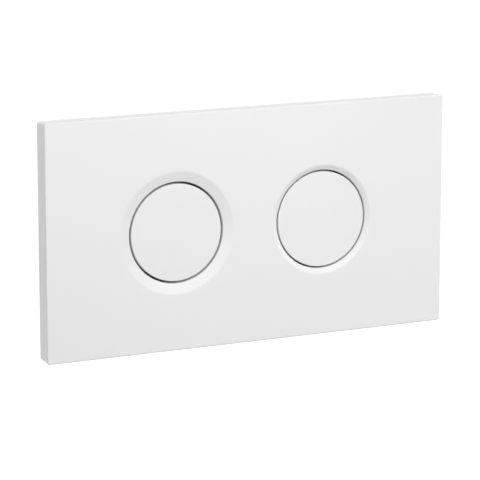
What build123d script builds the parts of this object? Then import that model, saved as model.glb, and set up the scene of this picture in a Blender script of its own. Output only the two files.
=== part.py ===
from build123d import *
import os
from math import cos, radians, sin

# Dual flush plate for a concealed cistern, in millimetres.
# X runs to the right, Y runs into the wall and Z runs up.
# The origin is the middle of the plate on the wall's surface, so the plate's front is at negative Y.

# Face plate
plate_width = 260.0
plate_height = 140.0
plate_depth = 12.0
side_draft = 0.5
corner_radius = 1.8
front_edge_round = 0.8
front_wall = 2.5
rim_wall = 2.2
stiffener_height = 2.0
stiffener_wall = 1.2
rest_rib_wall = 1.6
rest_rib_length = 60.0

# Dished openings
button_pitch = 95.2
full_dish_width = 6.1
half_dish_width = 2.9
dish_depth = 1.6
pan_wall = 2.2
collar_wall = 1.5
collar_length = 7.2

# Buttons
button_radius = 28.8
full_button_gap = 1.3
half_button_gap = 1.0
button_edge = 0.4
button_travel = 6.5
cap_wall = 3.0
skirt_wall = 1.8

# Clips that hold a cap on its plunger
clip_count = 3
clip_circle_radius = 21.0
clip_width = 6.0
clip_thickness = 1.6
clip_barb = 0.9
clip_barb_length = 1.6
clip_clearance = 0.2

# Plungers
flange_overlap = 1.1
flange_thickness = 1.5
flange_rib_wall = 1.6
flange_rib_height = 2.4
flange_rib_margin = 2.2
stem_radius = 6.0
stem_reach = 4.0

# Guide bridges over the buttons
bridge_width = 28.0
bridge_wall = 2.4
bridge_clearance = 1.0
bridge_corner_round = 4.0
bridge_rib_wall = 1.6
bridge_rib_height = 3.0
sleeve_wall = 2.0
sleeve_length = 8.0
sleeve_front_clearance = 1.0
stem_clearance = 0.1

# Each bridge's foot: a screw ear above, and a tab in the plate's hook below
ear_radius = 4.6
ear_thickness = 2.5
ear_offset = 4.4
tab_width = 12.0
tab_length = 4.0
hook_wall = 2.0
hook_lip = 2.6
hook_lip_wall = 1.6
hook_clearance = 0.1
ear_web_wall = 1.6
ear_web_height = 6.0
boss_wall = 2.1
screw_radius = 1.5
screw_length = 7.5
screw_head_radius = 2.9
screw_head_height = 1.9
screw_hole_clearance = 0.25
screw_end_clearance = 0.5
thread_clearance = 0.05

# Return springs
spring_wire = 1.4
spring_side_clearance = 0.8
spring_active_turns = 3
spring_end_turns = 1
spring_spans_per_turn = 12
spring_wire_sides = 4

# Mounting frame
frame_thickness = 3.0
frame_margin = 3.3
frame_corner_radius = 6.0
window_side_margin = 13.2
window_end_margin = 3.4
window_corner_radius = 5.0
wall_collar_side_margin = 7.2
wall_collar_end_margin = 4.0
wall_collar_wall = 1.8
wall_collar_depth = 6.0
gusset_count = 4
gusset_pitch = 46.0
gusset_wall = 1.6

# Snap tongues on the frame, and the plate's ledges that they catch
tongue_spacing = 140.0
tongue_width = 14.0
tongue_wall = 1.6
tongue_front_clearance = 2.0
barb_length = 2.0
barb_height = 1.2
barb_nose = 0.3
snap_clearance = 0.2
ledge_side_clearance = 0.4
ledge_thickness = 1.3
ledge_width = 18.0

# Fixing spindles, with their clamp nuts and washers
spindle_inset = 8.0
spindle_front_radius = 3.0
spindle_shank_radius = 4.0
spindle_reach = 58.0
spindle_front_clearance = 0.9
spindle_slot_clearance = 0.3
spindle_slot_length = 14.0
driver_slot_width = 1.2
driver_slot_depth = 1.6
spindle_showing = 0.6
clamp_nut_flats = 11.0
washer_size = 14.0
washer_thickness = 1.0
washer_hole_clearance = 0.2

# Push rods, with their locknuts and tips
rod_radius = 3.0
rod_reach = 70.0
rod_grip = 16.0
rod_end_gap = 1.0
locknut_flats = 10.0
locknut_thickness = 4.0
tip_radius = 5.0
tip_length = 7.0

# Small overlap that makes joined shapes of one piece share material
weld = 0.5

# Depths, from the plate's front to the rods' ends
front_y = -plate_depth
inside_y = front_y + front_wall
face_y = front_y + dish_depth
seat_y = face_y + collar_length
cap_inside_y = face_y + cap_wall
flange_back_y = seat_y + flange_thickness
sleeve_front_y = flange_back_y + button_travel + sleeve_front_clearance
bridge_y = sleeve_front_y + sleeve_length
bridge_back_y = bridge_y + bridge_wall
stem_back_y = bridge_back_y + stem_reach
ear_back_y = seat_y + ear_thickness
boss_bottom_y = ear_back_y - screw_length - screw_end_clearance
frame_front_y = -frame_thickness
washer_front_y = frame_front_y - washer_thickness
spindle_front_y = inside_y + spindle_front_clearance
nut_front_y = spindle_front_y + spindle_showing
tongue_front_y = inside_y + tongue_front_clearance
barb_back_y = tongue_front_y + barb_length
ledge_front_y = barb_back_y + snap_clearance
ledge_back_y = ledge_front_y + ledge_thickness
rod_front_y = stem_back_y - rod_grip

# Radii about a button's axis
opening_radii = {"full": button_radius + full_button_gap, "half": button_radius + half_button_gap}
flange_radius = max(opening_radii.values()) + flange_overlap
skirt_inner_radius = button_radius - skirt_wall
sleeve_radius = stem_radius + stem_clearance
sleeve_outer_radius = sleeve_radius + sleeve_wall
spring_radius = sleeve_outer_radius + spring_side_clearance + spring_wire / 2
flange_rib_start = spring_radius + spring_wire / 2 + flange_rib_margin
arch_inner = flange_radius + bridge_clearance
arch_outer = arch_inner + bridge_wall
ear_circle_radius = arch_outer + ear_offset
tab_end = arch_outer + tab_length
screw_hole_radius = screw_radius + screw_hole_clearance
boss_hole_radius = screw_radius + thread_clearance
boss_radius = boss_hole_radius + boss_wall
rod_hole_radius = rod_radius + thread_clearance

# Outlines seen from the front
cavity_width = plate_width - 2 * (side_draft + rim_wall)
cavity_height = plate_height - 2 * (side_draft + rim_wall)
frame_width = cavity_width - 2 * frame_margin
frame_height = cavity_height - 2 * frame_margin
window_width = button_pitch + 2 * (flange_radius + window_side_margin)
window_height = 2 * (ear_circle_radius + ear_radius + window_end_margin)
spindle_x = window_width / 2 + spindle_inset
wall_collar_width = 2 * (spindle_x + wall_collar_side_margin)
wall_collar_height = window_height + 2 * wall_collar_end_margin
button_places = {"full": -button_pitch / 2, "half": button_pitch / 2}
dish_widths = {"full": full_dish_width, "half": half_dish_width}
spindle_places = {"left": -spindle_x, "right": spindle_x}


def prism(outline, front, back):
    """Stand a flat outline, drawn in X and Z, between two depths."""
    return extrude(Plane.XZ.offset(-back) * outline, back - front)


def web(*profile, wall):
    """A wall of one thickness across X = 0, from a profile of (depth, height) points."""
    return extrude(Plane.YZ * make_face(Polyline(*profile, close=True)), wall / 2, both=True)


def turned(*profile):
    """Turn a profile of (radius, depth) points about the Y axis."""
    return revolve(make_face(Polyline(*profile, close=True)), Axis.Y)


def shaft(radius, front, back):
    """A round bar along Y."""
    return prism(Circle(radius), front, back)


def around(shape, count, first=0.0):
    """Copies of a shape, evenly spaced about the Y axis."""
    return [Rot(0, first + 360 * i / count, 0) * shape for i in range(count)]


def plate_shell():
    """The plate's front wall and rim, drawn in towards the wall."""
    front = RectangleRounded(plate_width, plate_height, corner_radius)
    back = RectangleRounded(plate_width - 2 * side_draft, plate_height - 2 * side_draft, corner_radius)
    body = loft([Plane.XZ.offset(-front_y) * front, Plane.XZ * back], ruled=True)
    front_edges = body.faces().sort_by(Axis.Y)[0].edges()
    body = fillet(front_edges, front_edge_round)
    return body - prism(Rectangle(cavity_width, cavity_height), inside_y, weld)


def dish_pan(opening_radius, dish_radius):
    """Wall behind one dish, with the collar that guides its button."""
    collar_radius = opening_radius + collar_wall
    return turned(
        (0, front_y + weld),
        (dish_radius + pan_wall, front_y + weld),
        (dish_radius + pan_wall, inside_y),
        (collar_radius, face_y + pan_wall),
        (collar_radius, seat_y),
        (0, seat_y),
    )


def dish_void(opening_radius, dish_radius):
    """Room for one dish and its button, cut right through the pan."""
    return turned(
        (0, front_y - weld),
        (dish_radius, front_y - weld),
        (dish_radius, front_y),
        (opening_radius, face_y),
        (opening_radius, seat_y + weld),
        (0, seat_y + weld),
    )


def plate_stiffeners():
    """Low ribs behind the front wall, and two tall ones that rest on the mounting frame."""
    low = (inside_y - weld, inside_y + stiffener_height)
    across = Rectangle(cavity_width + weld, stiffener_wall)
    upright = Rectangle(stiffener_wall, cavity_height + weld)
    rest = Rectangle(rest_rib_wall, rest_rib_length)
    rest_x = (wall_collar_width + frame_width) / 4
    across_z = window_height / 2 + wall_collar_end_margin
    upright_x = window_width / 2 - stiffener_wall
    ribs = prism(upright, *low)
    for side in (-1, 1):
        ribs += Pos(0, 0, side * across_z) * prism(across, *low)
        ribs += Pos(side * upright_x, 0, 0) * prism(upright, *low)
        ribs += Pos(side * rest_x, 0, 0) * prism(rest, inside_y - weld, frame_front_y)
    return ribs


def catch_ledges():
    """Four ledges inside the rim, which the frame's tongues catch behind."""
    inner = frame_height / 2 + ledge_side_clearance
    outer = cavity_height / 2 + weld
    ledge = prism(Rectangle(ledge_width, outer - inner), ledge_front_y, ledge_back_y)
    return [
        Pos(side * tongue_spacing / 2, 0, end * (inner + outer) / 2) * ledge
        for side in (-1, 1)
        for end in (-1, 1)
    ]


def bridge_hook():
    """Block below one button that seats a bridge's tab, with a lip over it."""
    inner = tab_end + hook_clearance
    lip_front_y = ear_back_y + hook_clearance
    lip_back_y = lip_front_y + hook_lip_wall
    return web(
        (inside_y - weld, -arch_outer),
        (seat_y, -arch_outer),
        (seat_y, -inner),
        (lip_front_y, -inner),
        (lip_front_y, hook_lip - inner),
        (lip_back_y, hook_lip - inner),
        (lip_back_y, -inner - hook_wall),
        (inside_y - weld, -inner - hook_wall),
        wall=tab_width,
    )


def face_plate():
    """One moulding: shell, dishes, collars, screw bosses, hooks, ribs and ledges."""
    plate = plate_shell() + plate_stiffeners() + catch_ledges()
    boss = Pos(0, 0, ear_circle_radius) * shaft(boss_radius, inside_y - weld, seat_y)
    boss_hole = Pos(0, 0, ear_circle_radius) * shaft(boss_hole_radius, boss_bottom_y, seat_y + weld)
    for button, x in button_places.items():
        pan = dish_pan(opening_radii[button], opening_radii[button] + dish_widths[button])
        plate += [Pos(x, 0, 0) * piece for piece in (pan, boss, bridge_hook())]
    for button, x in button_places.items():
        void = dish_void(opening_radii[button], opening_radii[button] + dish_widths[button])
        plate -= [Pos(x, 0, 0) * piece for piece in (void, boss_hole)]
    return plate


def plunger_clip():
    """Springy leg behind the cap's face, its barb behind the plunger's flange."""
    catch = flange_back_y + clip_clearance / 2
    leg_back = catch + clip_barb_length
    side = make_face(Polyline(
        (0, cap_inside_y - weld),
        (clip_thickness, cap_inside_y - weld),
        (clip_thickness, catch),
        (clip_thickness + clip_barb, catch),
        (clip_thickness, leg_back),
        (0, leg_back),
        close=True,
    ))
    return Pos(clip_circle_radius, 0, 0) * extrude(side, clip_width / 2, both=True)


def button_cap():
    """Round cap: a cup whose skirt stands on the plunger's flange, with clips inside."""
    cap = turned(
        (0, face_y),
        (button_radius - button_edge, face_y),
        (button_radius, face_y + button_edge),
        (button_radius, seat_y),
        (skirt_inner_radius, seat_y),
        (skirt_inner_radius, cap_inside_y),
        (0, cap_inside_y),
    )
    return cap + around(plunger_clip(), clip_count)


def plunger():
    """Round flange that stops behind the collar, with ribs, clip slots and the stem for the push rod."""
    body = shaft(flange_radius, seat_y, flange_back_y)
    rib_length = skirt_inner_radius - flange_rib_start
    rib = Pos(flange_rib_start + rib_length / 2, 0, 0) * prism(
        Rectangle(rib_length, flange_rib_wall), flange_back_y - weld, flange_back_y + flange_rib_height
    )
    clip_reach = clip_thickness + clip_barb + 2 * clip_clearance
    clip_room = Rectangle(clip_reach, clip_width + 2 * clip_clearance)
    clip_slot = Pos(clip_circle_radius - clip_clearance + clip_reach / 2, 0, 0) * prism(
        clip_room, seat_y - weld, flange_back_y + weld
    )
    body += around(rib, clip_count, first=180 / clip_count)
    body -= around(clip_slot, clip_count)
    body += shaft(stem_radius, flange_back_y - weld, stem_back_y)
    return body - shaft(rod_hole_radius, rod_front_y - rod_end_gap, stem_back_y + weld)


def bridge_ear():
    """Upper foot of a bridge: a screw ear, with two webs up to the arch."""
    length = ear_offset + ear_radius
    plate = Rectangle(2 * ear_radius, length) - Pos(0, length / 2 - ear_radius) * Circle(screw_hole_radius)
    ear = Pos(0, 0, arch_outer + length / 2) * prism(plate, seat_y, ear_back_y)
    brace = web(
        (ear_back_y - weld, arch_outer - weld),
        (ear_back_y - weld, ear_circle_radius),
        (ear_back_y, ear_circle_radius),
        (ear_back_y + ear_web_height, arch_outer),
        (ear_back_y + ear_web_height, arch_outer - weld),
        wall=ear_web_wall,
    )
    brace_x = ear_radius - ear_web_wall / 2
    return ear + [Pos(side * brace_x, 0, 0) * brace for side in (-1, 1)]


def guide_bridge():
    """Arch over one button, with a guide sleeve for the stem, a screw ear and a hook tab."""
    outline = make_face(Polyline(
        (seat_y, arch_inner),
        (bridge_y, arch_inner),
        (bridge_y, -arch_inner),
        (seat_y, -arch_inner),
        (seat_y, -tab_end),
        (ear_back_y, -tab_end),
        (ear_back_y, -arch_outer),
        (bridge_back_y, -arch_outer),
        (bridge_back_y, arch_outer),
        (seat_y, arch_outer),
        close=True,
    ))
    back_corners = outline.vertices().sort_by(Axis.X)[-2:]
    outline = fillet(back_corners, bridge_corner_round)
    bridge = extrude(Plane.YZ * outline, bridge_width / 2, both=True)
    beside_tab = Pos((bridge_width + tab_width) / 4, -arch_outer - tab_length) * Rectangle(
        (bridge_width - tab_width) / 2, 2 * tab_length
    )
    trim = prism(beside_tab, seat_y - weld, ear_back_y + weld)
    bridge -= [trim, mirror(trim, Plane.YZ)]
    rib_span = 2 * (arch_outer - bridge_corner_round)
    rib = prism(Rectangle(bridge_rib_wall, rib_span), bridge_back_y - weld, bridge_back_y + bridge_rib_height)
    rib_x = bridge_width / 2 - bridge_rib_wall
    bridge += [Pos(side * rib_x, 0, 0) * rib for side in (-1, 1)]
    bridge += bridge_ear()
    bridge += shaft(sleeve_outer_radius, sleeve_front_y, bridge_y + weld)
    return bridge - shaft(sleeve_radius, sleeve_front_y - weld, bridge_back_y + weld)


def return_spring():
    """Coil from the plunger's flange to the bridge, in short spans, with a closed turn at each end."""
    turns = spring_active_turns + 2 * spring_end_turns
    wire_half = spring_wire / 2 * cos(radians(180 / spring_wire_sides))
    start_y = flange_back_y + wire_half
    end_y = bridge_y - wire_half
    active_pitch = (end_y - start_y - 2 * spring_end_turns * spring_wire) / spring_active_turns
    wire = RegularPolygon(spring_wire / 2, spring_wire_sides, rotation=180 / spring_wire_sides)
    sections = []
    for i in range(turns * spring_spans_per_turn + 1):
        turn = i / spring_spans_per_turn
        active = min(max(turn - spring_end_turns, 0), spring_active_turns)
        y = start_y + active * active_pitch + (turn - active) * spring_wire
        angle = radians(360 * turn)
        outward = Vector(cos(angle), 0, sin(angle))
        along = Vector(-sin(angle), 0, cos(angle))
        centre = outward * spring_radius + Vector(0, y, 0)
        sections.append(Plane(origin=centre, x_dir=outward, z_dir=along) * wire)
    return loft(sections, ruled=True)


def bridge_screw():
    """Screw with its head behind the bridge's ear and its end in the plate's boss."""
    screw = shaft(screw_radius, ear_back_y - screw_length, ear_back_y + weld)
    screw += shaft(screw_head_radius, ear_back_y, ear_back_y + screw_head_height)
    return Pos(0, 0, ear_circle_radius) * screw


def snap_tongue():
    """Tongue on the frame's upper edge, its barb in front of the plate's ledge."""
    outer = frame_height / 2
    return web(
        (frame_front_y + weld, outer - tongue_wall),
        (frame_front_y + weld, outer),
        (barb_back_y, outer),
        (barb_back_y, outer + barb_height),
        (barb_back_y - barb_nose, outer + barb_height),
        (tongue_front_y, outer),
        (tongue_front_y, outer - tongue_wall),
        wall=tongue_width,
    )


def frame_gussets():
    """Small webs inside the wall collar, above and below the window."""
    inner = window_height / 2
    outer = wall_collar_height / 2 - wall_collar_wall / 2
    gusset = web((-weld, inner), (0, inner), (wall_collar_depth, outer), (-weld, outer), wall=gusset_wall)
    first_x = -gusset_pitch * (gusset_count - 1) / 2
    upper = [Pos(first_x + i * gusset_pitch, 0, 0) * gusset for i in range(gusset_count)]
    return upper + [Rot(0, 180, 0) * one for one in upper]


def mounting_frame():
    """Frame on the wall: flange, window, collar into the wall opening, spindle slots and snap tongues."""
    frame = prism(RectangleRounded(frame_width, frame_height, frame_corner_radius), frame_front_y, 0)
    collar_outer = RectangleRounded(wall_collar_width, wall_collar_height, window_corner_radius)
    collar_inner = RectangleRounded(
        wall_collar_width - 2 * wall_collar_wall,
        wall_collar_height - 2 * wall_collar_wall,
        window_corner_radius - wall_collar_wall,
    )
    frame += prism(collar_outer - collar_inner, -weld, wall_collar_depth)
    frame += frame_gussets()
    window = RectangleRounded(window_width, window_height, window_corner_radius)
    frame -= prism(window, frame_front_y - weld, wall_collar_depth)
    slot = Rot(0, 0, 90) * SlotOverall(spindle_slot_length, 2 * (spindle_front_radius + spindle_slot_clearance))
    frame -= [Pos(x, 0, 0) * prism(slot, frame_front_y - weld, weld) for x in spindle_places.values()]
    upper = [Pos(side * tongue_spacing / 2, 0, 0) * snap_tongue() for side in (-1, 1)]
    return frame + upper + [Rot(0, 180, 0) * tongue for tongue in upper]


def fixing_spindle():
    """Stepped spindle: its shoulder bears on the frame's back, its thin end takes the clamp nut."""
    spindle = shaft(spindle_front_radius, spindle_front_y, weld) + shaft(spindle_shank_radius, 0, spindle_reach)
    slot = Rectangle(2 * spindle_front_radius, driver_slot_width)
    return spindle - prism(slot, spindle_front_y - weld, spindle_front_y + driver_slot_depth)


def hex_nut(flats, bore, front, back):
    """A plain hexagon nut along Y."""
    return prism(RegularPolygon(flats / 2, 6, major_radius=False) - Circle(bore), front, back)


def spindle_washer():
    """Square plate washer between a clamp nut and the frame."""
    hole = Circle(spindle_front_radius + washer_hole_clearance)
    return prism(Rectangle(washer_size, washer_size) - hole, washer_front_y, frame_front_y)


def save(shape, node):
    """Write one piece, under its node's name."""
    export_step(shape, os.path.join("parts", node + ".step"))


os.makedirs("parts", exist_ok=True)

save(face_plate(), "face_plate")
save(mounting_frame(), "mounting_frame")

for button, x in button_places.items():
    place = Pos(x, 0, 0)
    locknut = hex_nut(locknut_flats, rod_hole_radius, stem_back_y, stem_back_y + locknut_thickness)
    save(place * button_cap(), button + "_flush_button")
    save(place * plunger(), button + "_plunger")
    save(place * guide_bridge(), button + "_guide_bridge")
    save(place * return_spring(), button + "_return_spring")
    save(place * shaft(rod_radius, rod_front_y, rod_reach), button + "_push_rod")
    save(place * locknut, button + "_rod_locknut")
    save(place * shaft(tip_radius, rod_reach, rod_reach + tip_length), button + "_rod_tip")

screw = bridge_screw()
save(Compound([Pos(x, 0, 0) * screw for x in button_places.values()]), "bridge_screws")

for side, x in spindle_places.items():
    nut = hex_nut(clamp_nut_flats, spindle_front_radius + thread_clearance, nut_front_y, washer_front_y)
    save(Pos(x, 0, 0) * fixing_spindle(), side + "_fixing_spindle")
    save(Pos(x, 0, 0) * nut, side + "_clamp_nut")

washer = spindle_washer()
save(Compound([Pos(x, 0, 0) * washer for x in spindle_places.values()]), "spindle_washers")
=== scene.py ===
# %% [markdown]
# # A flush button plate, dressed in Blender
# This lesson dresses a white dual flush plate for a concealed cistern.
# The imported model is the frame: it says where every piece is, in metres, with +Y into the wall and +Z up.
# Every piece is made again here, with rounder edges and real threads, and rides on one of the frame's bodies.

# %% Load the frame
from math import ceil, cos, degrees, pi, radians, sin, tau

import bmesh
import bpy
from mathutils import Matrix, Vector
from mathutils.geometry import interpolate_bezier


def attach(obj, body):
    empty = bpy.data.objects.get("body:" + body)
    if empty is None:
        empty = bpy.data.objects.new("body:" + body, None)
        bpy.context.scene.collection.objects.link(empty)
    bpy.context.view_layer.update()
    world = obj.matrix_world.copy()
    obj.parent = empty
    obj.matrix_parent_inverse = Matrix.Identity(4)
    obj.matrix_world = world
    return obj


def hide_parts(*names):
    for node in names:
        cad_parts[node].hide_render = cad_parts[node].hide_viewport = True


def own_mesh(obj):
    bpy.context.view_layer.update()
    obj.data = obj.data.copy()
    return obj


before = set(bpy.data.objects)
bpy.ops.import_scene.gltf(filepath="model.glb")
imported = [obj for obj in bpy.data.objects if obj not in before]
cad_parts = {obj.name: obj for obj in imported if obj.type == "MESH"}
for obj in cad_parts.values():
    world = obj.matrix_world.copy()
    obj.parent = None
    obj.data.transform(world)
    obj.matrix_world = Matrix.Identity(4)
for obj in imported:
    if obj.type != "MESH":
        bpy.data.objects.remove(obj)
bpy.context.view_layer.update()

MM = 0.001
# Distances in metres below which two places count as one; the wider is for spun, copied or moved points.
SAME_PLACE = 1e-7
NEAR = 1e-6

# %% [markdown]
# ## Sizes that the pieces share
# The sizes are in millimetres, as on a drawing, and become metres only where a vertex is made.
# Depths are along Y: the plate's front is at -12 and the wall's surface is at 0.
# INSIDE is the back of the front wall, FACE is where the buttons' faces lie, and SEAT is where the collars
# and the buttons' skirts end.

# %% Sizes
PLATE_WIDTH = 260.0
PLATE_HEIGHT = 140.0
FRONT = -12.0
INSIDE = -9.5
FACE = -10.4
SEAT = -3.2
BUTTON_X = {"full": -47.6, "half": 47.6}
DISH_WIDTH = {"full": 6.1, "half": 2.9}
BUTTON_RADIUS = 28.8
OPENING_RADIUS = {"full": 30.1, "half": 29.8}
ROUND_STEPS = 160
print("plate", PLATE_WIDTH, "by", PLATE_HEIGHT, "mm, buttons", 2 * BUTTON_RADIUS, "mm")

# %% [markdown]
# ## Small tools for profiles
# A turned piece is drawn as half of its section: a chain of points, each a radius and a depth.
# A moulded corner is never sharp, so a point can carry how much of each side its rounding takes.
# A short smooth curve between those two places is close enough to an arc, and needs no centre or angles.

# %% Rounded profiles
ARC_HANDLE = 0.55


def rounded_profile(points, segments=6):
    """A chain of (radius, depth) points; a third number in a point rounds that corner by so much."""
    chain = []
    for i, point in enumerate(points):
        here = Vector(point[:2])
        if len(point) < 3:
            chain.append(here)
            continue
        start = here + (Vector(points[i - 1][:2]) - here).normalized() * point[2]
        end = here + (Vector(points[i + 1][:2]) - here).normalized() * point[2]
        chain += interpolate_bezier(
            start, start.lerp(here, ARC_HANDLE), end.lerp(here, ARC_HANDLE), end, segments + 1
        )
    return [Vector(point[:2]) for point in chain]


print("a corner of 1 mm becomes", len(rounded_profile([(0, 0), (5, 0, 1), (5, 5)])) - 2, "points")

# %% [markdown]
# ## Turning a profile
# Spin is the lathe of Blender: it sweeps the chain round an axis and joins the last step to the first.
# A Screw modifier could do the same for one object; spin works inside a mesh, so that one piece can hold
# several turned shapes. They all turn about a line along Y, through some place on the plate.

# %% Turn a chain about a line along Y
def turn(bm, chain, x=0.0, z=0.0, steps=ROUND_STEPS):
    """Spin a chain of (radius, depth) points, in millimetres, and close its poles."""
    verts = [bm.verts.new(((x + radius) * MM, depth * MM, z * MM)) for radius, depth in chain]
    edges = [bm.edges.new(pair) for pair in zip(verts, verts[1:])]
    bmesh.ops.spin(
        bm, geom=verts + edges, cent=(x * MM, 0, z * MM), axis=(0, 1, 0), dvec=(0, 0, 0),
        angle=tau, steps=steps, use_merge=True, use_duplicate=False,
    )
    poles = [v for v in bm.verts if (v.co - Vector((x * MM, v.co.y, z * MM))).length < SAME_PLACE]
    if poles:
        bmesh.ops.remove_doubles(bm, verts=poles, dist=SAME_PLACE)


# %% [markdown]
# ## Blocks and prisms
# Ribs, ledges and lugs are blocks with their edges just taken off, as a mould leaves them.
# A Bevel modifier would round a whole piece alike, so each block is bevelled by itself in the mesh.
# A prism starts from the outline of one side, and one extrusion gives it its width.

# %% Blocks and prisms
def touching(verts, kind):
    """The edges or the faces that touch some vertices, each once, in the same order on every run."""
    return list(dict.fromkeys(element for v in verts for element in getattr(v, kind)))


def bevel(bm, edges, size, segments):
    """Round some edges by a size in millimetres."""
    return bmesh.ops.bevel(
        bm, geom=edges, offset=size * MM, segments=segments, profile=0.5, affect="EDGES", material=-1
    )


def block(bm, low, high, edge=0.2):
    """A block between two corners, in millimetres, with rounded edges."""
    made = bmesh.ops.create_cube(bm, size=1)["verts"]
    low, high = Vector(low) * MM, Vector(high) * MM
    bmesh.ops.scale(bm, verts=made, vec=high - low)
    bmesh.ops.translate(bm, verts=made, vec=(low + high) / 2)
    if edge:
        made = bevel(bm, touching(made, "link_edges"), edge, 2)["verts"]
    return made


def prism(bm, outline, left, right):
    """A prism across X from an outline of (depth, height) points."""
    verts = [bm.verts.new((left * MM, depth * MM, height * MM)) for depth, height in outline]
    side = bm.faces.new(verts)
    far = bmesh.ops.extrude_face_region(bm, geom=[side])["geom"]
    moved = [v for v in far if isinstance(v, bmesh.types.BMVert)]
    bmesh.ops.translate(bm, verts=moved, vec=((right - left) * MM, 0, 0))


# %% [markdown]
# ## Noise that materials share
# Moulded plastic is not one flat colour: it clouds a little, and its skin has a fine grain.
# Metal has the same kinds of change at other sizes, and streaks as well.
# One node group makes these patterns from the piece's own coordinates, and each material sets the sizes.
# Painted pictures could show the same, but they would need every piece to be unwrapped.

# %% Surface pattern group
STREAK_STRETCH = (1.0, 0.06, 1.0)


def surface_patterns():
    """Clouds, grain and streaks as values from 0 to 1, for any material."""
    group = bpy.data.node_groups.new("surface_patterns", "ShaderNodeTree")
    sockets = group.interface
    sockets.new_socket("Position", in_out="INPUT", socket_type="NodeSocketVector")
    for name in ("Cloud size", "Grain size", "Streak size"):
        sockets.new_socket(name, in_out="INPUT", socket_type="NodeSocketFloat")
    for name in ("Clouds", "Grain", "Streaks"):
        sockets.new_socket(name, in_out="OUTPUT", socket_type="NodeSocketFloat")
    nodes, links = group.nodes, group.links
    start, end = nodes.new("NodeGroupInput"), nodes.new("NodeGroupOutput")
    stretch = nodes.new("ShaderNodeMapping")
    stretch.inputs["Scale"].default_value = STREAK_STRETCH
    links.new(start.outputs["Position"], stretch.inputs["Vector"])
    for size, pattern, detail, position in (
        ("Cloud size", "Clouds", 3.0, start.outputs["Position"]),
        ("Grain size", "Grain", 2.0, start.outputs["Position"]),
        ("Streak size", "Streaks", 4.0, stretch.outputs["Vector"]),
    ):
        per_metre = nodes.new("ShaderNodeMath")
        per_metre.operation = "DIVIDE"
        per_metre.inputs[0].default_value = 1.0
        links.new(start.outputs[size], per_metre.inputs[1])
        noise = nodes.new("ShaderNodeTexNoise")
        noise.inputs["Detail"].default_value = detail
        links.new(position, noise.inputs["Vector"])
        links.new(per_metre.outputs["Value"], noise.inputs["Scale"])
        links.new(noise.outputs["Fac"], end.inputs[pattern])
    return group


PATTERNS = surface_patterns()
print("group", PATTERNS.name, "with", len(PATTERNS.nodes), "nodes")

# %% [markdown]
# ## One recipe for every finish
# A finish has two close tones that the clouds mix, a range of roughness, and a height for the grain.
# What is the same all over, such as how metallic it is, goes on the shader's own socket.
# Each material could be wired by hand, but with one function they differ only in their numbers.

# %% Finish recipe
def finish(name, dark, light, rough, cloud=0.05, grain=0.0006, streak=0.002, bump=0.05, relief=0.00002,
           metallic=0.0, ior=1.47, rough_from="Grain"):
    """A material whose colour, roughness and relief all follow the surface patterns."""
    material = bpy.data.materials.new(name)
    material.use_nodes = True
    nodes, links = material.node_tree.nodes, material.node_tree.links
    shader = nodes["Principled BSDF"]
    shader.inputs["Metallic"].default_value = metallic
    shader.inputs["IOR"].default_value = ior
    place = nodes.new("ShaderNodeTexCoord")
    pattern = nodes.new("ShaderNodeGroup")
    pattern.node_tree = PATTERNS
    pattern.inputs["Cloud size"].default_value = cloud
    pattern.inputs["Grain size"].default_value = grain
    pattern.inputs["Streak size"].default_value = streak
    links.new(place.outputs["Object"], pattern.inputs["Position"])
    tones = nodes.new("ShaderNodeMix")
    tones.data_type = "RGBA"
    tones.inputs["A"].default_value = (*dark, 1.0)
    tones.inputs["B"].default_value = (*light, 1.0)
    links.new(pattern.outputs["Clouds"], tones.inputs["Factor"])
    links.new(tones.outputs["Result"], shader.inputs["Base Color"])
    gloss = nodes.new("ShaderNodeMapRange")
    gloss.inputs["To Min"].default_value, gloss.inputs["To Max"].default_value = rough
    links.new(pattern.outputs[rough_from], gloss.inputs["Value"])
    links.new(gloss.outputs["Result"], shader.inputs["Roughness"])
    height = nodes.new("ShaderNodeBump")
    height.inputs["Strength"].default_value = bump
    height.inputs["Distance"].default_value = relief
    links.new(pattern.outputs["Grain"], height.inputs["Height"])
    links.new(height.outputs["Normal"], shader.inputs["Normal"])
    return material


# %% [markdown]
# ## The finishes
# The cover and the buttons are the same gloss white plastic. The pieces behind them are plainer mouldings:
# a mid grey frame, lighter bridges, slippery black plungers and natural white rods.
# The fasteners are zinc plated, the springs are bright drawn wire, and the rods' tips are black rubber.

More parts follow.
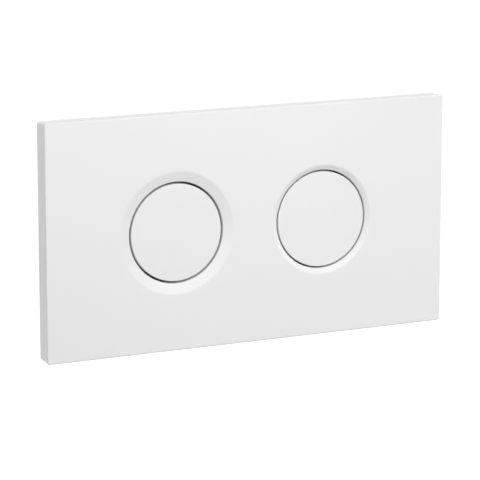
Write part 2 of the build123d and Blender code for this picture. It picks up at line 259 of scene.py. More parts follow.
# %% Finishes
FINISHES = {
    "plate_white": finish("gloss_white_cover", (0.80, 0.80, 0.80), (0.83, 0.83, 0.828), (0.24, 0.28),
                          cloud=0.09, grain=0.004, bump=0.03, relief=0.00001),
    "button_white": finish("gloss_white_button", (0.80, 0.80, 0.80), (0.83, 0.83, 0.828), (0.22, 0.26),
                           cloud=0.06, grain=0.004, bump=0.03, relief=0.00001),
    "plunger_black": finish("slippery_black", (0.018, 0.018, 0.019), (0.03, 0.03, 0.032), (0.4, 0.55),
                            cloud=0.02, bump=0.15),
    "bridge_grey": finish("bridge_moulding", (0.53, 0.545, 0.56), (0.60, 0.615, 0.63), (0.45, 0.6),
                          cloud=0.025, grain=0.0004, bump=0.25),
    "frame_grey": finish("frame_moulding", (0.36, 0.375, 0.39), (0.43, 0.445, 0.46), (0.48, 0.64),
                         cloud=0.04, grain=0.0004, bump=0.3),
    "rod_white": finish("natural_rod", (0.72, 0.715, 0.68), (0.78, 0.775, 0.745), (0.35, 0.5),
                        cloud=0.015, bump=0.12),
    "spring_steel": finish("drawn_wire", (0.32, 0.32, 0.315), (0.45, 0.45, 0.44), (0.16, 0.34),
                           cloud=0.006, streak=0.0008, bump=0.08, metallic=1.0, rough_from="Streaks"),
    "zinc_steel": finish("bright_zinc", (0.36, 0.37, 0.385), (0.50, 0.505, 0.50), (0.2, 0.42),
                         cloud=0.005, streak=0.0012, bump=0.12, metallic=1.0, rough_from="Streaks"),
    "tip_rubber": finish("tip_rubber", (0.018, 0.018, 0.019), (0.035, 0.035, 0.036), (0.62, 0.8),
                         cloud=0.006, grain=0.0005, bump=0.3),
}
print("finishes", sorted(FINISHES))

# %% [markdown]
# ## Making a mesh into a piece
# A piece is named, shaded, given its finish, and told which body it rides on; the solid it stands for is
# hidden.
# Normals are recalculated after doubles are merged. Edges sharper than a set angle stay crisp, and a weighted
# normal keeps the flat faces flat beside their small roundings.

# %% From a bmesh to a piece
CRISP = radians(32)


def piece(bm, name, body, slot, replaced, crisp=CRISP, merge=True):
    """Finish a bmesh as a piece of the plate."""
    if merge:
        bmesh.ops.remove_doubles(bm, verts=bm.verts, dist=SAME_PLACE)
    bmesh.ops.recalc_face_normals(bm, faces=bm.faces)
    mesh = bpy.data.meshes.new(name)
    bm.to_mesh(mesh)
    bm.free()
    obj = bpy.data.objects.new(name, mesh)
    bpy.context.scene.collection.objects.link(obj)
    mesh.polygons.foreach_set("use_smooth", [True] * len(mesh.polygons))
    mesh.set_sharp_from_angle(angle=crisp)
    mesh.materials.append(FINISHES[slot])
    even = obj.modifiers.new("flat_faces_stay_flat", "WEIGHTED_NORMAL")
    even.keep_sharp = True
    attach(obj, body)
    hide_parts(*replaced)
    print(name, len(mesh.polygons), "faces on", body)
    return obj


# %% [markdown]
# ## The cover's outside
# The cover is one moulding. Its outside is a box drawn in a little towards the wall, so that it leaves its
# mould. Two bevels round it: first the four corners, then the edge round the front. Subdivision would round
# a box too, but bevels leave the flats truly flat, which a gloss finish shows.
# The front and back faces come out again, because they get openings.

# %% Outside of the cover
SIDE_DRAFT = 0.5
CORNER_ROUND = 1.8
CORNER_STEPS = 8
EDGE_ROUND = 0.8
EDGE_STEPS = 6


def at_depth(geometry, depth):
    """True where every vertex of an edge or face is at one depth."""
    return all(abs(v.co.y - depth * MM) < NEAR for v in geometry.verts)


def cover_outside(bm):
    """The cover's rounded outer skin, open at the front and the back."""
    wide, tall = PLATE_WIDTH / 2, PLATE_HEIGHT / 2
    made = block(bm, (-wide, FRONT, -tall), (wide, 0, tall), edge=0)
    for v in made:
        if v.co.y > -NEAR:
            v.co.x -= SIDE_DRAFT * MM * (1 if v.co.x > 0 else -1)
            v.co.z -= SIDE_DRAFT * MM * (1 if v.co.z > 0 else -1)
    corners = [e for e in bm.edges if abs(e.verts[0].co.y - e.verts[1].co.y) > NEAR]
    bevel(bm, corners, CORNER_ROUND, CORNER_STEPS)
    bevel(bm, [e for e in bm.edges if at_depth(e, FRONT)], EDGE_ROUND, EDGE_STEPS)
    ends = [f for f in bm.faces if at_depth(f, FRONT) or at_depth(f, 0)]
    bmesh.ops.delete(bm, geom=ends, context="FACES_ONLY")
    return len(ends)


cover = bmesh.new()
print("open ends", cover_outside(cover))

# %% [markdown]
# ## The cover's hollow and dishes
# The hollow behind the front wall is a plain box, made from a rectangle whose rim is extruded to the back.
# Each dish is turned: a soft lip at the front face, a cone down to the button, the bore that guides it,
# and the wall behind. Flat fills with openings then join the outside, the hollow and the dishes into one
# skin. Booleans could cut the dishes out of a block, but turned faces are even and shade without marks.
# A lip's rounding takes a little less than the flat beside it, so that no two points fall together.

# %% Hollow, dishes and flat faces
RIM_WALL = 2.2
PAN_WALL = 2.2
COLLAR_WALL = 1.5
DISH_LIP = 0.7
LIP_SHARE = 0.98
BORE_LIP = 0.3
COLLAR_EDGE = 0.2
CAVITY_X = PLATE_WIDTH / 2 - SIDE_DRAFT - RIM_WALL
CAVITY_Z = PLATE_HEIGHT / 2 - SIDE_DRAFT - RIM_WALL


def cover_hollow(bm):
    """The four inner walls of the cover."""
    floor = bmesh.ops.create_grid(bm, x_segments=1, y_segments=1, size=1)["verts"]
    bmesh.ops.rotate(bm, verts=floor, cent=(0, 0, 0), matrix=Matrix.Rotation(pi / 2, 3, "X"))
    bmesh.ops.scale(bm, verts=floor, vec=(CAVITY_X * MM, 1, CAVITY_Z * MM))
    bmesh.ops.translate(bm, verts=floor, vec=(0, INSIDE * MM, 0))
    rim = touching(floor, "link_edges")
    inner = touching(floor, "link_faces")
    raised = bmesh.ops.extrude_edge_only(bm, edges=rim)["geom"]
    bmesh.ops.translate(
        bm, verts=[v for v in raised if isinstance(v, bmesh.types.BMVert)], vec=(0, -INSIDE * MM, 0)
    )
    bmesh.ops.delete(bm, geom=inner, context="FACES_ONLY")


def cover_dish(bm, button):
    """One dish with the bore and the collar of its button, open where it meets the front wall."""
    opening = OPENING_RADIUS[button]
    dish = opening + DISH_WIDTH[button]
    collar = opening + COLLAR_WALL
    chain = rounded_profile([
        (dish + DISH_LIP, FRONT),
        (dish, FRONT, DISH_LIP * LIP_SHARE),
        (opening, FACE, BORE_LIP),
        (opening, SEAT, COLLAR_EDGE),
        (collar, SEAT, COLLAR_EDGE),
        (collar, FACE + PAN_WALL),
        (dish + PAN_WALL, INSIDE),
    ])
    turn(bm, chain, x=BUTTON_X[button])


def fill_flat(bm, depth):
    """Fill the open edges at one depth, leaving the openings."""
    rim = [e for e in bm.edges if e.is_boundary and at_depth(e, depth)]
    bmesh.ops.triangle_fill(bm, use_beauty=True, use_dissolve=False, edges=rim, normal=(0, -1, 0))
    return len(rim)


cover_hollow(cover)
for button in BUTTON_X:
    cover_dish(cover, button)
print("filled rims", [fill_flat(cover, depth) for depth in (FRONT, INSIDE, 0)])
print("open edges left", sum(e.is_boundary for e in cover.edges))

# %% [markdown]
# ## Ribs, bosses and hooks behind the cover
# Behind the front wall are low ribs that keep it flat, tall ribs that rest on the frame, ledges that the
# frame's tongues catch, a boss for each bridge's screw and a hook for its tab. They show through the frame's
# window. Each is a closed shape of its own, rooted a little way into the wall: it looks the same as one skin,
# and it is simpler to change.

# %% Ribs and ledges
ROOTED = 0.3
ROOT = INSIDE - ROOTED
SIDE_ROOT = CAVITY_X + ROOTED
TOP_ROOT = CAVITY_Z + ROOTED
RIB_X = 90.8
RIB_Z = 51.0
RIB_HALF = 0.6
RIB_BACK = -7.5
REST_X = 115.6
REST_HALF = 0.8
REST_REACH = 30.0
REST_BACK = -3.0
LEDGE_X = 70.0
LEDGE_HALF = 9.0
LEDGE_Z = 64.4
LEDGE_FRONT = -5.3
LEDGE_BACK = -4.0


def cover_ribs(bm):
    """Low ribs, rest ribs and catch ledges."""
    for x in (-RIB_X, 0, RIB_X):
        block(bm, (x - RIB_HALF, ROOT, -TOP_ROOT), (x + RIB_HALF, RIB_BACK, TOP_ROOT))
    for z in (-RIB_Z, RIB_Z):
        block(bm, (-SIDE_ROOT, ROOT, z - RIB_HALF), (SIDE_ROOT, RIB_BACK, z + RIB_HALF))
    for x in (-REST_X, REST_X):
        block(bm, (x - REST_HALF, ROOT, -REST_REACH), (x + REST_HALF, REST_BACK, REST_REACH))
    for x in (-LEDGE_X, LEDGE_X):
        left, right = x - LEDGE_HALF, x + LEDGE_HALF
        block(bm, (left, LEDGE_FRONT, LEDGE_Z), (right, LEDGE_BACK, TOP_ROOT))
        block(bm, (left, LEDGE_FRONT, -TOP_ROOT), (right, LEDGE_BACK, -LEDGE_Z))


cover_ribs(cover)
print("faces with ribs", len(cover.faces))

# %% Bosses and hooks, and the finished cover
EAR_Z = 39.0
BOSS_RADIUS = 3.65
BOSS_BORE = 1.55
BOSS_BORE_END = -8.7
BOSS_EDGE = 0.2
BOSS_STEPS = 48
HOOK_HALF = 6.0
HOOK_INNER = -34.6
HOOK_OUTER = -40.7
TAB_SLOT = -38.7
NOSE_INNER = -36.1
NOSE_FRONT = -0.6
NOSE_BACK = 1.0
HOOK_OUTLINE = (
    (ROOT, HOOK_INNER), (SEAT, HOOK_INNER), (SEAT, TAB_SLOT), (NOSE_FRONT, TAB_SLOT),
    (NOSE_FRONT, NOSE_INNER), (NOSE_BACK, NOSE_INNER), (NOSE_BACK, HOOK_OUTER), (ROOT, HOOK_OUTER),
)


def cover_fixings(bm, x):
    """The boss above one button and the hook below it."""
    turn(bm, rounded_profile([
        (0, ROOT), (BOSS_RADIUS, ROOT), (BOSS_RADIUS, SEAT, BOSS_EDGE),
        (BOSS_BORE, SEAT), (BOSS_BORE, BOSS_BORE_END), (0, BOSS_BORE_END),
    ], segments=2), x=x, z=EAR_Z, steps=BOSS_STEPS)
    prism(bm, HOOK_OUTLINE, x - HOOK_HALF, x + HOOK_HALF)


for x in BUTTON_X.values():
    cover_fixings(cover, x)
piece(cover, "cover", "plate", "plate_white", ["face_plate"])

# %% [markdown]
# ## The buttons
# Each cap is a turned cup with a small round at its edge, which catches the light as a thin bright line.
# Its skirt stands on the plunger's flange, and three clips inside it catch behind that flange.
# A clip is a short piece of a ring, so its section is spun through a few degrees only.

# %% Buttons
CAP_INSIDE = -7.4
SKIRT_INNER = 27.0
CAP_EDGE = 0.45
CAP_CORNER = 0.4
SKIRT_EDGE = 0.15
CLIPS = 3
CLIP_WIDTH = 6.0
CLIP_STEPS = 6
CLIP_ROOT = CAP_INSIDE - ROOTED
CLIP_INNER = 21.0
CLIP_OUTER = 22.6
BARB_RADIUS = 23.5
BARB_FRONT = -1.6
BARB_BACK = 0.0
CLIP_OUTLINE = (
    (CLIP_INNER, CLIP_ROOT), (CLIP_OUTER, CLIP_ROOT), (CLIP_OUTER, BARB_FRONT), (BARB_RADIUS, BARB_FRONT),
    (CLIP_OUTER, BARB_BACK), (CLIP_INNER, BARB_BACK),
)
CLIP_SWEEP = degrees(2 * CLIP_WIDTH / (CLIP_INNER + CLIP_OUTER))


def ring_segment(bm, x, outline, first, sweep, steps):
    """Part of a ring: a section of (radius, depth) points spun through some degrees about a button's axis."""
    verts = [bm.verts.new(((x + radius) * MM, depth * MM, 0)) for radius, depth in outline]
    section = bm.faces.new(verts)
    centre = Vector((x * MM, 0, 0))
    bmesh.ops.rotate(bm, verts=verts, cent=centre, matrix=Matrix.Rotation(radians(first), 3, "Y"))
    bmesh.ops.spin(
        bm, geom=[section], cent=centre, axis=(0, 1, 0), dvec=(0, 0, 0), angle=radians(sweep), steps=steps,
        use_merge=False, use_duplicate=False,
    )


def button_cap(x):
    """A cap with its skirt and clips."""
    bm = bmesh.new()
    turn(bm, rounded_profile([
        (0, FACE), (BUTTON_RADIUS, FACE, CAP_EDGE), (BUTTON_RADIUS, SEAT, SKIRT_EDGE),
        (SKIRT_INNER, SEAT, SKIRT_EDGE), (SKIRT_INNER, CAP_INSIDE, CAP_CORNER), (0, CAP_INSIDE),
    ]), x=x)
    for i in range(CLIPS):
        ring_segment(bm, x, CLIP_OUTLINE, 360 / CLIPS * i - CLIP_SWEEP / 2, CLIP_SWEEP, CLIP_STEPS)
    return bm


for button, x in BUTTON_X.items():
    piece(button_cap(x), button + "_cap", button + "_button", "button_white", [button + "_flush_button"])

# %% [markdown]
# ## Mouldings behind the cover
# The frame, the bridges and the plungers already have their shape in the solids. What they lack is the small
# round that a mould leaves on every edge. A copy of the mesh is merged, its flat triangles are joined,
# and a bevel rounds each edge that turns by more than a set angle.

# %% Frame, bridges and plungers
FLAT = radians(0.5)
ROUNDED_FROM = radians(40)
FRAME_EDGE = 0.3
BRIDGE_EDGE = 0.25
PLUNGER_EDGE = 0.2


def moulded_copy(node, name, body, slot, edge):
    """A copy of a solid with a small round on its edges."""
    bm = bmesh.new()
    bm.from_mesh(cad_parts[node].data)
    bmesh.ops.remove_doubles(bm, verts=bm.verts, dist=NEAR)
    bmesh.ops.dissolve_limit(bm, angle_limit=FLAT, verts=bm.verts, edges=bm.edges)
    obj = piece(bm, name, body, slot, [node], merge=False)
    soft = obj.modifiers.new("moulded_edges", "BEVEL")
    soft.width = edge * MM
    soft.segments = 2
    soft.limit_method = "ANGLE"
    soft.angle_limit = ROUNDED_FROM
    obj.modifiers.move(1, 0)


moulded_copy("mounting_frame", "wall_frame", "plate", "frame_grey", FRAME_EDGE)
for button in BUTTON_X:
    moulded_copy(button + "_guide_bridge", button + "_bridge", "plate", "bridge_grey", BRIDGE_EDGE)
    moulded_copy(
        button + "_plunger", button + "_plunger_moulding", button + "_button", "plunger_black", PLUNGER_EDGE
    )

# %% [markdown]
# ## The return springs
# A coil is a round wire spun along a helix: spin can climb a little with every step.
# The first and last turns are closed, one wire apart, so that the coil stands square; the turns between are
# open. A curve with a round bevel would do as well, but spin gives a closed mesh at once, with flat ends.
# The coil's back end stays on the bridge.

# %% Return springs
WIRE = 1.4
WIRE_SIDES = 14
COIL_RADIUS = 9.6
COIL_START = -1.7
COIL_END = 13.8
OPEN_TURNS = 3
TURN_STEPS = 40


def coil(x):
    """A round-wire compression spring about a button's axis."""
    bm = bmesh.new()
    ring = bmesh.ops.create_circle(bm, cap_ends=True, radius=WIRE / 2 * MM, segments=WIRE_SIDES)["verts"]
    first = (x + COIL_RADIUS, COIL_START + WIRE / 2, 0)
    bmesh.ops.translate(bm, verts=ring, vec=Vector(first) * MM)
    last = touching(ring, "link_faces")
    # Each closed turn rises by one wire, and the wire itself takes one more.
    open_pitch = (COIL_END - COIL_START - 3 * WIRE) / OPEN_TURNS
    for turns, pitch in ((1, WIRE), (OPEN_TURNS, open_pitch), (1, WIRE)):
        swept = bmesh.ops.spin(
            bm, geom=last, cent=(x * MM, 0, 0), axis=(0, -1, 0), dvec=(0, pitch * MM / TURN_STEPS, 0),
            angle=tau * turns, steps=TURN_STEPS * turns, use_merge=False, use_duplicate=False,
        )
        last = swept["geom_last"]
    return bm


for button, x in BUTTON_X.items():
    spring = piece(
        coil(x), button + "_coil", "plate", "spring_steel", [button + "_return_spring"], merge=False
    )
    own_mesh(spring)

# %% [markdown]
# ## Threaded bars
# A thread is one tooth's profile, spun along a helix for as many turns as the bar needs; the end of one turn
# meets the start of the next. Cuts then trim the bar to length, each end is drawn in as a chamfer, and the
# open ends are filled. A bump map would be enough from afar, but it leaves the bar's outline smooth.

# %% Threads
CUT_SNAP = 1e-8
CHAMFER_SCALE = 0.84


def threaded_bar(bm, x, start, end, radius, pitch, depth, steps=28, chamfer=0.6):
    """A bar along Y with a real thread between two depths."""
    before = set(bm.verts)
    root = radius - depth
    # Each point of a tooth is a radius and a share of the pitch.
    tooth = ((root, 0), (root, 0.2), (radius, 0.45), (radius, 0.75), (root, 1.0))
    verts = [bm.verts.new(((x + r) * MM, (start + (part - 1) * pitch) * MM, 0)) for r, part in tooth]
    edges = [bm.edges.new(pair) for pair in zip(verts, verts[1:])]
    turns = ceil((end - start) / pitch) + 1
    bmesh.ops.spin(
        bm, geom=verts + edges, cent=(x * MM, 0, 0), axis=(0, 1, 0), dvec=(0, pitch * MM / steps, 0),
        angle=tau * turns, steps=steps * turns, use_merge=False, use_duplicate=False,
    )
    bmesh.ops.remove_doubles(bm, verts=[v for v in bm.verts if v not in before], dist=NEAR)
    for depth_cut, outward in ((start, -1), (end, 1)):
        for inset in (chamfer, 0):
            own = [v for v in bm.verts if v not in before]
            geometry = own + touching(own, "link_edges") + touching(own, "link_faces")
            bmesh.ops.bisect_plane(
                bm, geom=geometry, dist=CUT_SNAP, plane_co=(0, (depth_cut - outward * inset) * MM, 0),
                plane_no=(0, outward, 0), clear_outer=inset == 0, clear_inner=False,
            )
        tip = [v for v in bm.verts if v not in before and (v.co.y - depth_cut * MM) * outward > -NEAR]
        drawn_in = (CHAMFER_SCALE, 1, CHAMFER_SCALE)
        bmesh.ops.scale(bm, verts=tip, vec=drawn_in, space=Matrix.Translation((-x * MM, 0, 0)))
    rims = [e for e in bm.edges if e.is_boundary and e.verts[0] not in before]
    bmesh.ops.holes_fill(bm, edges=rims, sides=0)
    return turns


# %% [markdown]
# ## Push rods, locknuts and tips
# Each plunger's stem holds a plastic rod, which reaches through the wall to the flush valve. A hex nut locks
# it, and a soft rubber tip quietens it. A nut's corners are turned off at both ends: cutting with planes laid
# round a cone gives the curved edges that a real nut shows.

# %% Hex nuts
NUT_STEPS = 36
NUT_CONE = radians(30)
NUT_TURNED = 0.985


def hex_nut(bm, x, flats, bore, front, back):
    """A hex nut along Y with turned-off corners."""
    before = set(bm.verts)
    corner_radius = flats / 2 / cos(pi / 6)
    rim = bmesh.ops.create_circle(bm, cap_ends=False, radius=corner_radius * MM, segments=6)["verts"]
    hole = bmesh.ops.create_circle(bm, cap_ends=False, radius=bore * MM, segments=NUT_STEPS)["verts"]
    loops = touching(rim + hole, "link_edges")
    filled = bmesh.ops.triangle_fill(bm, use_beauty=True, use_dissolve=False, edges=loops, normal=(0, 0, 1))
    faces = [f for f in filled["geom"] if isinstance(f, bmesh.types.BMFace)]
    raised = bmesh.ops.extrude_face_region(bm, geom=faces)["geom"]
    bmesh.ops.translate(
        bm, verts=[v for v in raised if isinstance(v, bmesh.types.BMVert)], vec=(0, 0, (back - front) * MM)
    )
    made = [v for v in bm.verts if v not in before]
    bmesh.ops.rotate(bm, verts=made, cent=(0, 0, 0), matrix=Matrix.Rotation(-pi / 2, 3, "X"))
    bmesh.ops.translate(bm, verts=made, vec=(x * MM, front * MM, 0))
    for depth, outward in ((front, -1), (back, 1)):
        for i in range(NUT_STEPS):
            turn_off(bm, before, x, depth, outward, flats / 2 * NUT_TURNED, tau * i / NUT_STEPS)


def turn_off(bm, before, x, depth, outward, radius, angle):
    """One cut along a cone at the end of a nut."""
    side = Vector((cos(angle), 0, sin(angle)))
    slope = side * sin(NUT_CONE) + Vector((0, outward * cos(NUT_CONE), 0))
    own = [v for v in bm.verts if v not in before]
    geometry = own + touching(own, "link_edges") + touching(own, "link_faces")
    point = Vector((x, depth, 0)) + side * radius
    bmesh.ops.bisect_plane(
        bm, geom=geometry, dist=CUT_SNAP, plane_co=point * MM, plane_no=slope,
        clear_outer=True, clear_inner=False,
    )
    open_edges = [e for e in bm.edges if e.is_boundary and e.verts[0] not in before]
    if open_edges:
        bmesh.ops.holes_fill(bm, edges=open_edges, sides=0)


# %% Rods, locknuts and tips
ROD_RADIUS = 3.0
ROD_FRONT = 4.2
ROD_BACK = 70.0
ROD_PITCH = 1.75
ROD_THREAD = 0.45
STEM_BACK = 20.2
NUT_BORE = 3.05
LOCKNUT_FLATS = 10.0
LOCKNUT_HEIGHT = 4.0
TIP_RADIUS = 5.0
TIP_BACK = 77.0
TIP_FRONT_EDGE = 0.6
TIP_BACK_EDGE = 1.6
TIP_STEPS = 64
THREAD_CRISP = radians(50)
NUT_CRISP = radians(15)

for button, x in BUTTON_X.items():
    body = button + "_button"
    bm = bmesh.new()
    turns = threaded_bar(bm, x, ROD_FRONT, ROD_BACK, ROD_RADIUS, ROD_PITCH, ROD_THREAD)
    piece(
        bm, button + "_threaded_rod", body, "rod_white", [button + "_push_rod"],
        crisp=THREAD_CRISP, merge=False,
    )
    bm = bmesh.new()
    hex_nut(bm, x, LOCKNUT_FLATS, NUT_BORE, STEM_BACK, STEM_BACK + LOCKNUT_HEIGHT)
    piece(bm, button + "_locknut", body, "rod_white", [button + "_rod_locknut"], crisp=NUT_CRISP)
    bm = bmesh.new()
    turn(bm, rounded_profile([
        (0, ROD_BACK), (TIP_RADIUS, ROD_BACK, TIP_FRONT_EDGE), (TIP_RADIUS, TIP_BACK, TIP_BACK_EDGE),
        (0, TIP_BACK),
    ]), x=x, steps=TIP_STEPS)
    piece(bm, button + "_soft_tip", body, "tip_rubber", [button + "_rod_tip"])
    print("thread turns", turns)

# %% [markdown]
# ## Fixing spindles, clamp nuts and washers
# Two stepped spindles hold the frame. The thick end is threaded into the cistern's opening; the thin end
# comes through the frame's slot and takes a square washer and a hex nut. It also has a slot for a driver.
# A boolean needs one closed skin, so the slot is cut before the other lengths of the spindle are added.
# The lengths reach a little into each other, and a cutter stands out a little from what it cuts.

# %% Cutting one shape out of another
def cut_away(shape, cutter):
    """Cut one closed shape out of another with an exact boolean, and return what is left."""
    helpers = []
    for name, bm in (("shape", shape), ("cutter", cutter)):
        bmesh.ops.recalc_face_normals(bm, faces=bm.faces)
        mesh = bpy.data.meshes.new(name)
        bm.to_mesh(mesh)
        bm.free()
        helpers.append(bpy.data.objects.new(name, mesh))
        bpy.context.scene.collection.objects.link(helpers[-1])
    cut = helpers[0].modifiers.new("cut", "BOOLEAN")
    cut.operation = "DIFFERENCE"
    cut.solver = "EXACT"
    cut.object = helpers[1]
    bpy.context.view_layer.update()
    graph = bpy.context.evaluated_depsgraph_get()
    done = bpy.data.meshes.new_from_object(helpers[0].evaluated_get(graph))
    left = bmesh.new()
    left.from_mesh(done)
    used = [done] + [helper.data for helper in helpers]
    for helper in helpers:
        bpy.data.objects.remove(helper)
    for mesh in used:
        bpy.data.meshes.remove(mesh)
    return left


# %% Sizes of the spindles, nuts and washers
SPINDLE_X = {"left": -100.0, "right": 100.0}
SPINDLE_FRONT = -8.6
THIN_RADIUS = 3.0
THIN_PITCH = 1.0
THIN_THREAD = 0.45
THIN_CHAMFER = 0.4
SHANK_RADIUS = 4.0
SHANK_PLAIN = 3.0
SHANK_BACK = 58.0
SHANK_PITCH = 1.25
SHANK_THREAD = 0.55
SHANK_FRONT_EDGE = 0.2
SHANK_BACK_EDGE = 0.3
SHANK_STEPS = 56
SHANK_THREAD_STEPS = 32
JOINED = 0.2
SLOT_DEPTH = 1.6
SLOT_HALF = 0.6
STANDS_OUT = 1.0
CLAMP_FLATS = 11.0
CLAMP_FRONT = -8.0
CLAMP_BACK = -4.0
WASHER_BACK = -3.0
WASHER_HALF = 7.0
WASHER_EDGE = 0.15
WASHER_HOLE = 3.2
WASHER_STEPS = 40
print("spindles at", SPINDLE_X, "with threads of", 2 * THIN_RADIUS, "and", 2 * SHANK_RADIUS, "mm")

# %% Spindles, nuts and washers
washers = bmesh.new()
holes = bmesh.new()
for side, x in SPINDLE_X.items():
    thin_end = bmesh.new()
    threaded_bar(
        thin_end, x, SPINDLE_FRONT, JOINED, THIN_RADIUS, THIN_PITCH, THIN_THREAD, chamfer=THIN_CHAMFER
    )
    slot = bmesh.new()
    reach = THIN_RADIUS + STANDS_OUT
    slot_low = (x - reach, SPINDLE_FRONT - STANDS_OUT, -SLOT_HALF)
    slot_high = (x + reach, SPINDLE_FRONT + SLOT_DEPTH, SLOT_HALF)
    block(slot, slot_low, slot_high, edge=0)
    bm = cut_away(thin_end, slot)
    print("faces after the driver slot", len(bm.faces))
    turn(bm, rounded_profile([
        (0, 0), (SHANK_RADIUS, 0, SHANK_FRONT_EDGE), (SHANK_RADIUS, SHANK_PLAIN, SHANK_BACK_EDGE),
        (0, SHANK_PLAIN),
    ], segments=2), x=x, steps=SHANK_STEPS)
    threaded_bar(
        bm, x, SHANK_PLAIN - 2 * JOINED, SHANK_BACK, SHANK_RADIUS, SHANK_PITCH, SHANK_THREAD,
        steps=SHANK_THREAD_STEPS,
    )
    piece(
        bm, side + "_spindle", "plate", "zinc_steel", [side + "_fixing_spindle"],
        crisp=THREAD_CRISP, merge=False,
    )
    bm = bmesh.new()
    hex_nut(bm, x, CLAMP_FLATS, NUT_BORE, CLAMP_FRONT, CLAMP_BACK)
    piece(bm, side + "_nut", "plate", "zinc_steel", [side + "_clamp_nut"], crisp=NUT_CRISP)
    washer_low = (x - WASHER_HALF, CLAMP_BACK, -WASHER_HALF)
    washer_high = (x + WASHER_HALF, WASHER_BACK, WASHER_HALF)
    block(washers, washer_low, washer_high, edge=WASHER_EDGE)
    hole_front, hole_back = CLAMP_BACK - STANDS_OUT, WASHER_BACK + STANDS_OUT
    hole = [(0, hole_front), (WASHER_HOLE, hole_front), (WASHER_HOLE, hole_back), (0, hole_back)]
    turn(holes, hole, x=x, steps=WASHER_STEPS)
piece(cut_away(washers, holes), "plate_washers", "plate", "zinc_steel", ["spindle_washers"])

# %% [markdown]
# ## Bridge screws
# One pan-head screw holds each bridge's upper ear. Its head is turned with a soft dome, and a plain cross
# recess is cut into it, one arm at a time. The thread is hidden in the boss, but it is modelled all the same.
# Both screws are alike, so one is made and then copied to each place.

# %% Bridge screws
EAR_BACK = -0.7
HEAD_RADIUS = 2.9
HEAD_HEIGHT = 1.9
HEAD_EDGE = 0.15
HEAD_DOME = 1.0
HEAD_STEPS = 56
RECESS_DEPTH = 1.1
RECESS_LONG = 1.5
RECESS_SLIM = 0.33
SCREW_END = -8.2
SCREW_RADIUS = 1.5
SCREW_PITCH = 0.8
SCREW_THREAD = 0.3
SCREW_CHAMFER = 0.5
SCREW_STEPS = 20
SCREW_CRISP = radians(40)


def cross_head_screw():
    """One screw about the Y axis: a domed head with a cross recess, and a threaded shank."""
    top = EAR_BACK + HEAD_HEIGHT
    bm = bmesh.new()
    turn(bm, rounded_profile([
        (0, EAR_BACK), (HEAD_RADIUS, EAR_BACK, HEAD_EDGE), (HEAD_RADIUS, top, HEAD_DOME), (0, top),
    ]), steps=HEAD_STEPS)
    for wide, tall in ((RECESS_LONG, RECESS_SLIM), (RECESS_SLIM, RECESS_LONG)):
        arm = bmesh.new()
        block(arm, (-wide, top - RECESS_DEPTH, -tall), (wide, top + STANDS_OUT, tall), edge=0)
        bm = cut_away(bm, arm)
    threaded_bar(
        bm, 0, SCREW_END, EAR_BACK + JOINED, SCREW_RADIUS, SCREW_PITCH, SCREW_THREAD,
        steps=SCREW_STEPS, chamfer=SCREW_CHAMFER,
    )
    return bm


screw = cross_head_screw()
one_screw = bpy.data.meshes.new("one_screw")
screw.to_mesh(one_screw)
screw.free()
screws = bmesh.new()
for x in BUTTON_X.values():
    before = set(screws.verts)
    screws.from_mesh(one_screw)
    added = [v for v in screws.verts if v not in before]
    bmesh.ops.translate(screws, verts=added, vec=(x * MM, 0, EAR_Z * MM))
bpy.data.meshes.remove(one_screw)
piece(screws, "cross_head_screws", "plate", "zinc_steel", ["bridge_screws"], crisp=SCREW_CRISP, merge=False)

# %% [markdown]
# ## The floor
# The plate hangs on a wall, so the floor lies well below it. It is white to the camera and to reflections,
# and dimmer as light: a floor lit until it is white would light the plate too much from below.
# From under it, the floor is clear. Lengths from here on are in metres, and powers are in watts.

# %% Floor
FLOOR_Z = -0.36
FLOOR_REACH = 30.0
FLOOR_GREY = 0.2
FLOOR_LIFT = 0.92


def seen_or_lit(tree):
    """One where a camera, glossy or transmission ray asks, and zero for diffuse light."""
    path = tree.nodes.new("ShaderNodeLightPath")
    total = path.outputs["Is Camera Ray"]
    for name in ("Is Glossy Ray", "Is Transmission Ray"):
        add = tree.nodes.new("ShaderNodeMath")
        add.operation = "MAXIMUM"
        tree.links.new(total, add.inputs[0])
        tree.links.new(path.outputs[name], add.inputs[1])
        total = add.outputs["Value"]
    return total


def pale_floor():
    """A wide pale floor that still takes the plate's shadow."""
    bm = bmesh.new()
    bmesh.ops.create_grid(bm, x_segments=1, y_segments=1, size=FLOOR_REACH)
    bmesh.ops.translate(bm, verts=bm.verts, vec=(0, 0, FLOOR_Z))
    mesh = bpy.data.meshes.new("floor")
    bm.to_mesh(mesh)
    bm.free()
    material = bpy.data.materials.new("pale_floor")
    material.use_nodes = True
    tree = material.node_tree
    shader = tree.nodes["Principled BSDF"]
    shader.inputs["Base Color"].default_value = (FLOOR_GREY, FLOOR_GREY, FLOOR_GREY, 1)
    shader.inputs["Roughness"].default_value = 1.0
    shader.inputs["Specular IOR Level"].default_value = 0.0
    shader.inputs["Emission Color"].default_value = (1, 1, 1, 1)
    lift = tree.nodes.new("ShaderNodeMath")
    lift.operation = "MULTIPLY"
    lift.inputs[1].default_value = FLOOR_LIFT
    tree.links.new(seen_or_lit(tree), lift.inputs[0])
    tree.links.new(lift.outputs["Value"], shader.inputs["Emission Strength"])
    side = tree.nodes.new("ShaderNodeNewGeometry")
    clear_below = tree.nodes.new("ShaderNodeMath")
    clear_below.operation = "SUBTRACT"
    clear_below.inputs[0].default_value = 1.0
    tree.links.new(side.outputs["Backfacing"], clear_below.inputs[1])
    tree.links.new(clear_below.outputs["Value"], shader.inputs["Alpha"])
    mesh.materials.append(material)
    floor = bpy.data.objects.new("floor", mesh)
    bpy.context.scene.collection.objects.link(floor)
    return floor


print("floor", pale_floor().name, "at", FLOOR_Z)

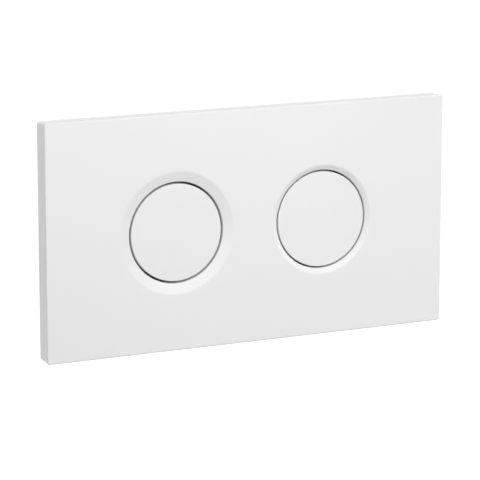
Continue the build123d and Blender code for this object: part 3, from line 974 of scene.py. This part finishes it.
# %% [markdown]
# ## World and lamps
# The world is white to the camera and to reflections too, and softer as light. By itself it would leave the
# white plate flat. A broad lamp in front and a little above shapes the dishes, one on each side lights the
# rims, and one behind shapes the mechanism. Their powers were fitted to the photo's tones on the front,
# the dishes and the rim.

# %% World and lamps
AMBIENT = 0.627
LAMPS = {
    "front": (Vector((0.1, -0.8, 0.25)), 0.9, 5.1),
    "left": (Vector((-1.0, -0.25, 0.2)), 0.8, 1.1),
    "right": (Vector((1.0, -0.25, 0.2)), 0.8, 1.75),
    "back": (Vector((-0.2, 1.2, 0.15)), 0.9, 8.0),
}


def studio_world():
    """White to the camera and to reflections, softer as light."""
    world = bpy.data.worlds.new("studio")
    bpy.context.scene.world = world
    world.use_nodes = True
    tree = world.node_tree
    strength = tree.nodes.new("ShaderNodeMapRange")
    strength.inputs["To Min"].default_value = AMBIENT
    strength.inputs["To Max"].default_value = 1.0
    tree.links.new(seen_or_lit(tree), strength.inputs["Value"])
    background = tree.nodes["Background"]
    background.inputs["Color"].default_value = (1, 1, 1, 1)
    tree.links.new(strength.outputs["Result"], background.inputs["Strength"])


def soft_lamp(name, place, size, power):
    """A broad square lamp that faces the plate.

    A lamp behind the plate is left out of reflections, or the plate's top edge would vanish in it.
    """
    data = bpy.data.lights.new(name, "AREA")
    data.size = size
    data.energy = power
    lamp = bpy.data.objects.new(name, data)
    lamp.location = place
    lamp.rotation_euler = place.to_track_quat("Z", "Y").to_euler()
    lamp.visible_camera = False
    lamp.visible_glossy = place.y < 0
    bpy.context.scene.collection.objects.link(lamp)
    return lamp.name


studio_world()
print("lamps", [soft_lamp(name, *values) for name, values in LAMPS.items()])

# %% [markdown]
# ## The camera
# A camera can be moved by eye until the picture fits. Here its place, its turn and its lens were worked out
# from the plate's corners and its button rings, because small errors show in such a plain object.

# %% Camera
CAMERA_AT = Vector((-0.671394, -1.350201, 0.292496))
CAMERA_YAW = radians(26.399)
CAMERA_PITCH = radians(11.36)
LENS = 194.368
SENSOR = 36.0
NEAREST = 0.05
FARTHEST = 100.0

camera_data = bpy.data.cameras.new("camera")
camera_data.lens = LENS
camera_data.sensor_width = SENSOR
camera_data.clip_start = NEAREST
camera_data.clip_end = FARTHEST
camera = bpy.data.objects.new("camera", camera_data)
camera.location = CAMERA_AT
camera.rotation_euler = (pi / 2 - CAMERA_PITCH, 0, -CAMERA_YAW)
bpy.context.scene.collection.objects.link(camera)
bpy.context.scene.camera = camera
bpy.context.scene.view_settings.view_transform = "Standard"
print("camera at", tuple(round(value, 3) for value in camera.location))

# %% [markdown]
# ## The last update
# The scene is brought up to date once more. The dressed plate has to stay inside the solids' box.

# %% Finish
bpy.context.view_layer.update()
